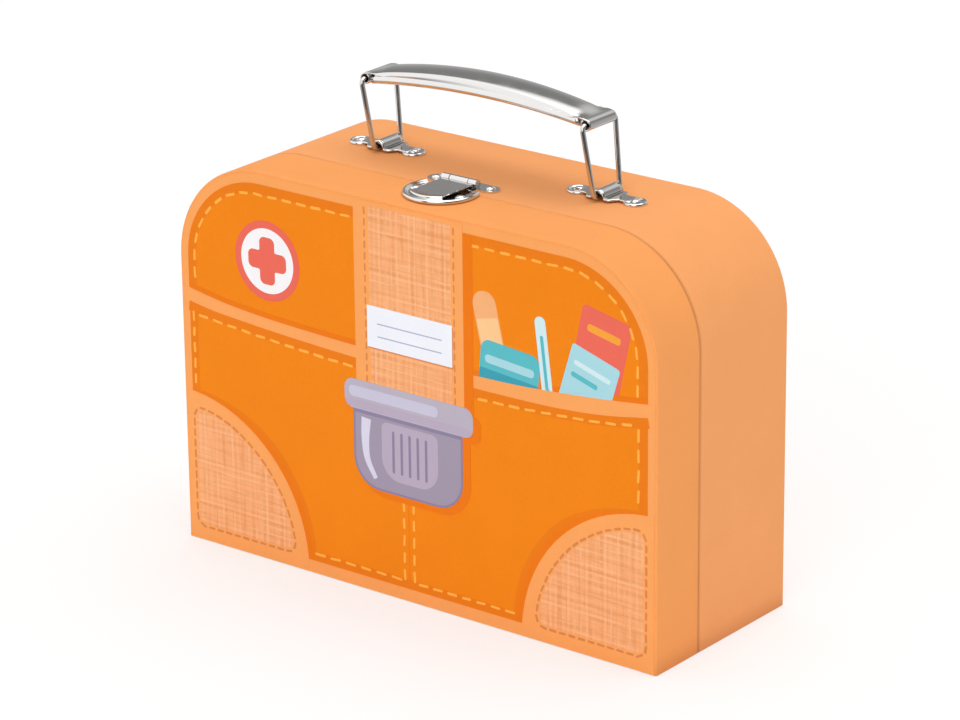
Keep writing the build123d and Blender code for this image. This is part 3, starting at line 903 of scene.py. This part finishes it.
# Drawn clasp: a lilac grey buckle with a bar over it
gleamLine = smoothLine([(-24.0, 77.0), (-24.6, 68.0), (-23.6, 59.0), (-19.2, 51.0)])
grip = {"bars": (-9.4, -5.0, -0.7, 3.6, 8.0), "half": 0.65, "low": 55.5, "high": 74.2, "round": 0.6}
claspLayers = [
    ("deep", 7.4, [buckleShape(-29.0, 43.2, 31.2, 84.0, 0, 15.5)]),
    ("deep", 8.1, [rectangle(-30.0, 78.0, 36.8, 90.0, 4.0)]),
    ("lilacDark", 8.9, [buckleShape(-30.6, 46.0, 27.2, 81.0, 0, 13.5)]),
    ("lilac", 9.3, [buckleShape(-29.6, 47.0, 26.2, 81.0, 0, 12.6)]),
    ("lilacDark", 9.6, [rectangle(-29.6, 78.6, 26.2, 80.8)]),
    ("lilacInset", 9.9, [buckleShape(-15.6, 52.0, 14.2, 77.4, 3, 9.5, steps=7)]),
    ("lilacLight", 10.1, [offsetBand(gleamLine, (2.8, -2.3), (1.2, -1.0))]),
    ("lilacBar", 10.8, [rectangle(-35.2, 80.2, 32.8, 93.2, 4.6)]),
    ("lilacInset", 11.1, [rectangle(-34.4, 80.8, 32.0, 84.2, 1.6)]),
    ("lilacSoft", 11.4, [rectangle(-32.8, 85.4, 14.5, 90.2, 2.2)]),
]
for x in grip["bars"]:
    bar = rectangle(x - grip["half"], grip["low"], x + grip["half"], grip["high"], grip["round"], steps=3)
    claspLayers.append(("lilacDark", 10.4, [bar]))
printPiece("printClasp", claspLayers)

# Back: the same field and corner patches, with stitches all round
backPath = archPath(drawing["border"] + drawing["rimShade"] + 0.2, 70.5)
backStitches = stitches("stitch", 6, "field", backPath, 71)
backStitches += stitches("stitch", 6, "field", bottomStitches, 72)
backStitches += patchStitches(81)
printPiece("printBackPanels", panelLayers(), "base", onBack)
printPiece("printBackStitches", backStitches, "base", onBack)
print("print drawn:", len(frontStitches) + len(backStitches), "dashes")

# Rivets: a domed head outside and a flattened tail inside, on one shank
rivetLook = {"head": 2.2, "dome": 1.2, "shank": 1.2, "tail": 1.9, "tailHeight": 0.5}
earInset = 5.0  # from a mount's end to its rivet


def rivet(x, y, low, high):
    head, rise, shank, tail = (rivetLook[k] for k in ("head", "dome", "shank", "tail"))
    seat, under = high - rise, low + rivetLook["tailHeight"]
    profile = [(head * sin(a), seat + rise * cos(a)) for a in sweep(4, 90, 10)]
    profile += [(head - 0.1, seat - 0.02), (shank, seat - 0.02), (shank, under)]
    profile += [(tail, under - 0.02), (tail - 0.03, under - 0.25), (tail - 0.3, low), (0.05, low)]
    return dome(x, y, 0.0, profile, 36)


mountEdge = nodeBox("right_handle_mount")[0][0]
for name, node, body, places in (
    ("handleRivets", "handle_rivets", "base", [-mountEdge - earInset, mountEdge + earInset]),
    ("claspRearRivets", "clasp_rear_rivets", "base", []),
    ("claspFrontRivets", "clasp_front_rivets", "lid", []),
):
    low, high = nodeBox(node)
    outer = high[0] - rivetLook["head"]
    parts = [rivet(x, (low[1] + high[1]) / 2, low[2], high[2]) for x in [-outer, outer] + places]
    makePiece(name, parts, nickelRivet, body, "plated_rivet", [node])

# Handle mounts: an ear round each rivet, a narrow waist, and a raised saddle over the bail's foot
mountLook = {
    "sheet": 0.8,
    "strip": 0.78,
    "earRadius": 5.1,
    "earRim": 1.35,
    "earFlat": 2.5,  # how far the strip runs flat under the ear
    "waist": 3.3,  # half widths
    "plate": 6.8,
    "flare": 0.5,
    "plateReach": 5.5,
    "neck": 2.6,
    "saddle": 2.6,
    "saddleTop": 4.1,
    "shoulder": 0.9,
    "shoulderGap": 0.6,
}
washerLow, washerHigh = nodeBox("handle_washers")
handleY = (washerLow[1] + washerHigh[1]) / 2


def ear(x):
    # A dished disc with a raised round edge.
    radius, flat, rim = mountLook["earRadius"], mountLook["sheet"], mountLook["earRim"]
    profile = [
        (0.05, flat),
        (2.5, flat),
        (radius - 1.9, flat + 0.02),
        (radius - 1.45, flat + 0.2),
        (radius - 1.1, rim - 0.08),
        (radius - 0.75, rim),
        (radius - 0.4, rim - 0.07),
        (radius - 0.12, rim - 0.35),
        (radius, rim - 0.75),
        (radius + 0.02, 0.25),
        (radius - 0.02, 0.02),
        (radius - 0.5, 0.0),
    ]
    return dome(x, handleY, case["height"], profile, 48)


def mountStrip(middle, reach):
    # The strip between the ears, arched over the bail's foot; the path is one half, mirrored.
    look = mountLook
    s, bend, flat = look["saddle"], look["shoulder"], look["sheet"]
    centre = look["saddleTop"] - s  # height of the arch's centre
    foot, start = s + bend, look["earFlat"] - reach
    path = [(-reach, flat)]
    path += [(start + (-start - look["plateReach"]) * i / 5, flat) for i in range(6)]
    path += [(-(foot + look["shoulderGap"]), flat)]
    path += [(-foot + bend * sin(a), flat + bend * (1 - cos(a))) for a in sweep(0, 90, 5)]
    path += [(-s * cos(a), centre + s * sin(a)) for a in sweep(0, 90, 10)]
    path += [(-x, z) for x, z in reversed(path[:-1])]
    rows = []
    for x, z in path:
        share = smoothStep(look["plateReach"] - 0.2, look["plateReach"] + look["neck"], abs(x))
        width = look["plate"] + (look["waist"] - look["plate"]) * share
        width += look["flare"] * smoothStep(reach - earInset, reach, abs(x))
        rows.append([(middle + x, handleY + width * (k / 4 - 1), case["height"] + z) for k in range(9)])
    return sheet(rows)


for short, node in (("leftMount", "left_handle_mount"), ("rightMount", "right_handle_mount")):
    low, high = nodeBox(node)
    middle = (low[0] + high[0]) / 2
    reach = (high[0] - low[0]) / 2 - earInset
    finish = (nickelSheet, "base", "plated_sheet", [node])
    makePiece(short + "Ears", [ear(middle - reach), ear(middle + reach)], *finish)
    makePiece(short + "Saddle", [mountStrip(middle, reach)], *finish, thickness=mountLook["strip"])

# Grip: a crowned strip whose sides run down to rolled edges and whose ends curl round the bails' bars
gripLook = {
    "sheet": 0.6,
    "edge": 8.4,
    "corner": 1.7,
    "bead": 1.85,
    "beadY": 7.45,
    "beadTurn": 292.0,  # degrees that the rolled edge turns
    "barrel": 2.5,
    "barrelHalf": 9.0,
    "barrelTurn": (80.0, -238.0),
    "lift": 1.6,  # from the bars up to the crown's edges
    "rise": 6.5,
    "crown": 1.7,
    "beadRise": 4.1,
    "beadSag": (0.6, -0.2),  # at the left and the right end; pressed by hand, so not quite even
    "sideLean": 0.2,  # the side leans in at the left end and out at the right
    "beadStop": 3.4,
    "flatten": (9.5, 0.6),  # where the crown starts and stops going flat, from the bar
    "endGap": 0.4,
}
bailLow, bailHigh = nodeBox("left_wire_bail")
pinLow, pinHigh = nodeBox("clasp_pin")
wireRadius = (pinHigh[2] - pinLow[2]) / 2 + 0.1  # the bails' wire is a little thicker than the pin
barLeft, barRight = bailLow[0] + wireRadius, nodeBox("right_wire_bail")[0][0] + wireRadius
gripMiddle = (barLeft + barRight) / 2
gripSpan = (barRight - barLeft) / 2
barHeight = bailHigh[2] - wireRadius


def arcHeight(x, rise):
    radius = (gripSpan**2 + rise**2) / (2 * rise)
    return rise - radius + sqrt(radius**2 - x**2)


def gripSection(x):
    # Half of the section, from the middle of the crown out and round its corner.
    look = gripLook
    edge, corner, crown = look["edge"], look["corner"], look["crown"]
    top = barHeight + look["lift"] + arcHeight(x, look["rise"])
    radius = (edge**2 + crown**2) / (2 * crown)
    flat = smoothStep(gripSpan - look["flatten"][0], gripSpan - look["flatten"][1], abs(x))
    widths = [(edge - corner * 0.85) * i / 8 for i in range(9)]
    arch = [(y, top + crown - radius + sqrt(radius**2 - y**2)) for y in widths]
    y0, z0 = arch[-1]
    slope = -y0 / sqrt(radius**2 - y0**2)
    bendZ, endZ = z0 + (edge - y0) * slope, z0 - corner * 1.05
    for t in (i / 7 for i in range(1, 8)):
        y = (1 - t) ** 2 * y0 + 2 * t * (1 - t) * edge + t * t * edge
        arch.append((y, (1 - t) ** 2 * z0 + 2 * t * (1 - t) * bendZ + t * t * endZ))
    level = top + look["barrel"] - look["lift"]
    last = len(arch) - 1
    barrel = [look["barrelHalf"] * i / last for i in range(last + 1)]
    return [(y + (wide - y) * flat, z + (level - z) * flat) for wide, (y, z) in zip(barrel, arch)]


def gripSkirt(x, last):
    # From the crown's round corner down the side and round the rolled edge.
    look = gripLook
    share = 0.5 + 0.5 * x / gripSpan
    sag = look["beadSag"][0] * (1 - share) + look["beadSag"][1] * share
    centre = barHeight - sag + arcHeight(x, look["beadRise"])
    side = look["edge"] + look["sideLean"] * x / gripSpan
    bead, steps = look["bead"], 18
    start = acos((side - look["beadY"]) / bead)
    foot = centre + bead * sin(start)
    made = [(last[0] + (side - last[0]) * t, last[1] + (foot - last[1]) * t) for t in (0.4, 0.8, 1.0)]
    turns = [start - radians(look["beadTurn"]) * i / steps for i in range(1, steps + 1)]
    return made + [(look["beadY"] + bead * cos(a), centre + bead * sin(a)) for a in turns]


def gripShell(steps=56):
    look = gripLook
    points, faces = [], []

    def addRow(x, section):
        start = len(points)
        points.extend((gripMiddle + x, handleY + y, z) for y, z in section)
        return list(range(start, start + len(section)))

    def mirrored(half):
        return [(-y, z) for y, z in reversed(half)] + half[1:]

    inner = gripSpan - look["beadStop"]
    middle = []
    for x in (-inner + 2 * inner * i / steps for i in range(steps + 1)):
        crown = gripSection(x)
        middle.append(addRow(x, mirrored(crown + gripSkirt(x, crown[-1]))))
    for a, b in zip(middle, middle[1:]):
        faces += [(a[j], b[j], b[j + 1], a[j + 1]) for j in range(len(a) - 1)]
    crownCount = 2 * len(crown) - 1
    side = (len(middle[0]) - crownCount) // 2
    ys = [look["barrelHalf"] * (2 * i / (crownCount - 1) - 1) for i in range(crownCount)]
    for way in (-1, 1):  # past the rolled edges only the crown goes on, and curls round the bar
        last = middle[0 if way < 0 else -1][side : side + crownCount]
        more = []
        for x in (inner + (gripSpan - look["endGap"] - inner) * i / 4 for i in range(1, 5)):
            more.append(addRow(way * x, mirrored(gripSection(way * x))))
        for a in sweep(*look["barrelTurn"], 24):
            z = barHeight + look["barrel"] * sin(a)
            more.append(addRow(way * (gripSpan + look["barrel"] * cos(a)), [(y, z) for y in ys]))
        for row in more:
            for j in range(crownCount - 1):
                face = (last[j], row[j], row[j + 1], last[j + 1])
                faces.append(face if way > 0 else face[::-1])
            last = row
    return points, faces


finish = (nickelSheet, "grip", "plated_sheet", ["handle_grip"])
makePiece("gripShell", [gripShell()], *finish, thickness=gripLook["sheet"])
print("handle made")


def cutPart(part, point, direction):
    # Takes away what lies beyond a plane and closes the cut.
    work = bmesh.new()
    points = [work.verts.new(p) for p in part[0]]
    for face in part[1]:
        work.faces.new([points[i] for i in face])
    everything = list(work.verts) + list(work.edges) + list(work.faces)
    done = bmesh.ops.bisect_plane(
        work, geom=everything, dist=1e-4, plane_co=point, plane_no=direction, clear_outer=True
    )
    rim = [e for e in done["geom_cut"] if isinstance(e, bmesh.types.BMEdge)]
    bmesh.ops.holes_fill(work, edges=rim, sides=0)
    work.verts.index_update()
    cut = [tuple(v.co) for v in work.verts], [tuple(v.index for v in f.verts) for f in work.faces]
    work.free()
    return cut


# Clasp, lid side: a round plate with a rolled rim, cut straight along the seam
frontPlateLow, frontPlateHigh = nodeBox("clasp_front_plate")
plateLook = {"radius": 16.2, "bead": 1.0, "sheet": 0.8}
claspY = frontPlateLow[1] + plateLook["radius"]


def rolledPlate():
    r, b, t = plateLook["radius"], plateLook["bead"], plateLook["sheet"]
    profile = [(0.05, t), (6.0, t), (11.0, t), (r - 3.4, t), (r - 2.7, t + 0.03), (r - 2.15, t + 0.25)]
    profile += [(r - b + b * cos(a), b + b * sin(a)) for a in sweep(150, -90, 16)]
    profile += [(r - b - 0.3, 0.0)]
    plate = dome(0.0, claspY, case["height"], profile, 96)
    return cutPart(plate, (0, frontPlateHigh[1], 0), (0, 1, 0))


makePiece("claspPlate", [rolledPlate()], nickelSheet, "lid", "plated_sheet", ["clasp_front_plate"])

# Clasp, base side: a plate with an ear at each end, and the knuckles that hold the pin
rearLow, rearHigh = nodeBox("clasp_rear_plate")
rearLook = {
    "half": 10.0,
    "neck": 3.6,
    "earX": 14.0,
    "earRadius": 4.0,
    "sheet": 0.8,
    "earSheet": 0.82,
    "bevel": 0.14,
    "windowHalf": 2.15,  # the opening under the knuckles, from front to back
    "windowRound": 0.4,
}
knuckle = {"radius": 1.85, "bore": 1.05, "inner": 5.0, "length": 4.0, "hasp": 4.7}
pinY, pinZ = (pinLow[1] + pinHigh[1]) / 2, (pinLow[2] + pinHigh[2]) / 2


def ringTube(left, right, sides=28):
    # A short pipe along X round the pin: four rings of points, the last joined to the first.
    outer, bore = knuckle["radius"], knuckle["bore"]
    rows = []
    for x, r in ((left, outer), (right, outer), (right, bore), (left, bore)):
        rows.append([(x, pinY + r * cos(a), pinZ + r * sin(a)) for a in around(sides)])
    points, faces = sheet(rows, loop=True)
    last = 3 * sides
    faces += [(last + j, last + (j + 1) % sides, (j + 1) % sides, j) for j in range(sides)]
    return points, faces


def onTop(x, y, z):
    return (x, y, case["height"] + z)


def rearPlate():
    # Half of the outline is given, from the front edge round the ear; the other half is its mirror.
    half, ear, r = rearLook["half"], rearLook["earX"], rearLook["earRadius"]
    front, back = rearLow[1], rearHigh[1]
    right = [(half, front), (half, front + rearLook["neck"])]
    right += [(ear, back - 2 * r), (ear + r, back - r), (ear, back)]
    rounds = [0.6, 1.0, 1.2, 2.2, 1.5]
    outline = roundOff(right + [(-x, y) for x, y in reversed(right)], rounds + rounds[::-1])
    inner, deep = knuckle["inner"], rearLook["windowHalf"]
    window = rectangle(-inner, pinY - deep, inner, pinY + deep, rearLook["windowRound"], steps=3)[::-1]
    return slab([outline, window], 0.0, rearLook["sheet"], onTop)


earY = nodeBox("clasp_rear_rivets")[0][1] + rivetLook["head"]
rearParts = [rearPlate()]
rearParts.append(ringTube(-knuckle["inner"] - knuckle["length"], -knuckle["inner"]))
rearParts.append(ringTube(knuckle["inner"], knuckle["inner"] + knuckle["length"]))
for side in (-1, 1):
    disc = circle(side * rearLook["earX"], earY, rearLook["earRadius"], 40)
    rearParts.append(slab([disc], 0.0, rearLook["earSheet"], onTop))
finish = (nickelSheet, "base", "plated_sheet", ["clasp_rear_plate"])
makePiece("claspRearPlate", rearParts, *finish, bevel=rearLook["bevel"])

# Hasp: a flat tongue on a knuckle rolled round the pin; its rounded front edge turns down into a lip
haspLow, haspHigh = nodeBox("clasp_hasp")
haspLook = {
    "front": claspY - haspLow[1],  # from the round plate's middle to the lip
    "half": haspHigh[0],
    "flat": 2.2,  # from the case up to the tongue's flat
    "sheet": 0.55,
    "bend": 0.3,
    "lipFoot": 1.15,
    "back": pinY - knuckle["radius"] - 0.25,
    "strip": 0.6,  # how far the knuckle's strip reaches under the tongue
    "stripEnd": pinY - 1.2,
    "stripThin": 0.03,  # so that no two faces share a level
    "knuckleBevel": 0.1,
    "tongueBevel": 0.12,
}


def haspTongue(across=24, along=6):
    # Each row crosses the tongue, from its back to the foot of the lip.
    look = haspLook
    back, flat, bend = look["back"], look["flat"], look["bend"]
    r = look["front"] - bend
    reach = degrees(asin(look["half"] / look["front"]))
    turns = sweep(-reach, reach, across)
    edge = [(r * sin(a), claspY - r * cos(a)) for a in turns]
    rows = [[onTop(x, back + (y - back) * i / along, flat) for x, y in edge] for i in range(along + 1)]
    folds = [(bend * sin(a), bend * (1 - cos(a))) for a in sweep(15, 90, 5)]
    folds.append((bend, flat - look["lipFoot"]))
    for out, drop in folds:
        lip = [((r + out) * sin(a), claspY - (r + out) * cos(a)) for a in turns]
        rows.append([onTop(x, y, flat - drop) for x, y in lip])
    return sheet(rows)


stripLow = haspLook["flat"] - haspLook["sheet"] + haspLook["stripThin"]
stripShape = (-knuckle["hasp"], haspLook["back"] - haspLook["strip"], knuckle["hasp"], haspLook["stripEnd"])
haspKnuckle = [
    ringTube(-knuckle["hasp"], knuckle["hasp"]),
    slab([rectangle(*stripShape)], stripLow, haspLook["flat"] - haspLook["stripThin"], onTop),
]
finish = (nickelSheet, "hasp", "plated_sheet", ["clasp_hasp"])
makePiece("haspKnuckle", haspKnuckle, *finish, bevel=haspLook["knuckleBevel"])
makePiece("haspTongue", [haspTongue()], *finish, bevel=haspLook["tongueBevel"], thickness=haspLook["sheet"])
print("clasp made")

# The board, wire, washers and stud that stay as they are in the frame get their finish here
nodeFinish = {
    greyBoard: (
        "base_back_board", "base_band", "base_bottom_board", "inner_collar",
        "lid_front_board", "lid_band", "lid_bottom_board",
    ),
    liningCard: ("base_back_lining", "base_side_lining", "lid_front_lining", "lid_side_lining"),
    nickelWire: ("left_wire_bail", "right_wire_bail", "clasp_pin"),
    nickelRivet: ("catch_stud",),
    zincSteel: ("handle_washers", "clasp_rear_washers", "clasp_front_washers"),
}
for material, names in nodeFinish.items():
    for name in names:
        node = bpy.data.objects[name]
        node.material_slots[0].link = "OBJECT"
        node.material_slots[0].material = material

stageLook = {
    "floorHalf": 3.0,  # metres
    "floorDrop": 0.02,
    "floorColour": "#FFFFFF",
    "sky": 0.53,  # what lights the matt surfaces from all round
    "glow": 0.55,  # how far the floor melts into the white around it
}
half = stageLook["floorHalf"]
floorMesh = bpy.data.meshes.new("floor")
corners = [(-half, -half, 0), (half, -half, 0), (half, half, 0), (-half, half, 0)]
floorMesh.from_pydata(corners, [], [(0, 1, 2, 3)])
floor = addObject("floor", floorMesh)
floor.location.z = (nodeBox("base_bottom_cloth")[0][2] - stageLook["floorDrop"]) * mm
floor.visible_glossy = False  # metal finds the studio's own light and dark sides there instead
floorMaterial, tree, place = startMaterial("matteWhiteSweep")
sweepPaint = {"Base Color": toLinear(stageLook["floorColour"]), "Roughness": 0.9, "IOR": 1.45}
sweepPaint = addNode(tree, "BsdfPrincipled", sweepPaint)
cameraRay = addNode(tree, "LightPath").outputs["Is Camera Ray"]
glowShare = addNode(tree, "Math", [cameraRay, stageLook["glow"]], operation="MULTIPLY")
glow = addNode(tree, "Emission", {"Strength": 1.0})
melted = addNode(tree, "MixShader", [glowShare, sweepPaint, glow])
addNode(tree, "OutputMaterial", {"Surface": melted})
floorMesh.materials.append(floorMaterial)

# What polished metal finds in the studio, by direction: a light roof, a grey far wall that gets a little
# lighter towards the floor, a white sheet on the left, a pale screen behind and a dark corner in front.
# Heights are degrees above the horizon; turns are degrees from the front towards the case's right.
mirrorLook = {
    "wall": {"from": -8.0, "to": 30.0, "low": 0.5, "high": 0.27},
    "sheetLight": {"from": -26.0, "to": -12.0, "low": 0.4, "high": 1.25},  # its foot is in shade
    "sheet": {"turn": -62.0, "width": 88.0},
    "screen": {"turn": -178.0, "width": 44.0},
    "screenLight": 0.75,
    "dark": {"turn": 38.0, "width": 112.0},
    "darkLight": 0.1,
    "roof": {"from": 43.0, "to": 52.0, "low": 0.0, "high": 1.0},
    "roofLight": 1.3,
    "soft": 14.0,
}
world = bpy.data.worlds.new("studio")
bpy.context.scene.world = world
world.use_nodes = True
tree = world.node_tree
tree.nodes.clear()
paths = addNode(tree, "LightPath").outputs
direction = addNode(tree, "TexCoord").outputs["Generated"]
heightOf = addNode(tree, "SeparateXYZ", [direction]).outputs["Z"]
flat = addNode(tree, "VectorMath", [direction, (1.0, 1.0, 0.0)], operation="MULTIPLY")
level = addNode(tree, "VectorMath", [flat], operation="NORMALIZE")


def outward(turn, height):
    # From the case outwards: degrees from its front towards its right, and above the horizon.
    turn, height = radians(turn), radians(height)
    return Vector((sin(turn) * cos(height), -cos(turn) * cos(height), sin(height)))


def byHeight(part):
    # Goes softly from the low light to the high one between two heights.
    ends = [sin(radians(part["from"])), sin(radians(part["to"]))]
    ramp = [heightOf, *ends, part["low"], part["high"]]
    return addNode(tree, "MapRange", ramp, interpolation_type="SMOOTHSTEP")


def bySide(part):
    # One within half the width of an upright direction, falling softly to nothing.
    half, soft = part["width"] / 2, mirrorLook["soft"] / 2
    middle = outward(part["turn"], 0)
    facing = addNode(tree, "VectorMath", [level, middle], operation="DOT_PRODUCT").outputs["Value"]
    ramp = [facing, cos(radians(half + soft)), cos(radians(max(half - soft, 0.0)))]
    return addNode(tree, "MapRange", ramp, interpolation_type="SMOOTHSTEP")


look = mirrorLook
light = byHeight(look["wall"])
for share, over in (
    (bySide(look["sheet"]), byHeight(look["sheetLight"])),
    (bySide(look["screen"]), look["screenLight"]),
    (bySide(look["dark"]), look["darkLight"]),
    (byHeight(look["roof"]), look["roofLight"]),
):
    light = addNode(tree, "Mix", {0: share, 2: light, 3: over})
light = addNode(tree, "Mix", {0: paths["Is Glossy Ray"], 2: stageLook["sky"], 3: light})
light = addNode(tree, "Mix", {0: paths["Is Camera Ray"], 2: light, 3: 1.0})
backdrop = addNode(tree, "Background", {"Color": (1.0, 1.0, 1.0, 1.0), "Strength": light})
addNode(tree, "OutputWorld", {"Surface": backdrop})

lampLook = {
    "key": {"turn": 165.0, "height": 81.0, "spread": 60.0, "strength": 0.405},
    "fill": {"turn": 19.0, "height": 28.0, "spread": 50.0, "strength": 0.25},
}
for name, look in lampLook.items():  # far, wide lights
    lamp = bpy.data.lights.new(name + "Light", "SUN")
    lamp.energy = look["strength"] * pi
    lamp.angle = radians(look["spread"])
    made = addObject(name + "Light", lamp)
    source = outward(look["turn"], look["height"])
    made.location = source * 1.5  # only so that it stands apart in the viewport
    made.rotation_euler = source.to_track_quat("Z", "Y").to_euler()

cameraLook = {
    "turn": 38.172,  # degrees from the front towards the case's right side
    "lift": 20.094,
    "roll": -0.617,
    "distance": 1829.6,
    "slideX": 0.682,
    "slideZ": 89.350,
    "lens": 160.70,
    "sensor": 36.0,
    "clipStart": 50.0,
}
turn, lift, roll = cameraLook["turn"], cameraLook["lift"], radians(cameraLook["roll"])
away, right, up = outward(turn, lift), outward(turn + 90, 0), outward(turn, lift + 90)
across = right * cos(roll) + up * sin(roll)
upright = up * cos(roll) - right * sin(roll)
place = away * cameraLook["distance"] + right * cameraLook["slideX"] + up * cameraLook["slideZ"]
cameraData = bpy.data.cameras.new("camera")
cameraData.lens = cameraLook["lens"]
cameraData.sensor_width = cameraLook["sensor"]
cameraData.clip_start = cameraLook["clipStart"] * mm
camera = addObject("camera", cameraData)
camera.matrix_world = Matrix.Translation(place * mm) @ Matrix((across, upright, away)).transposed().to_4x4()
bpy.context.scene.camera = camera

bpy.context.scene.view_settings.view_transform = "Standard"
print("stage set")
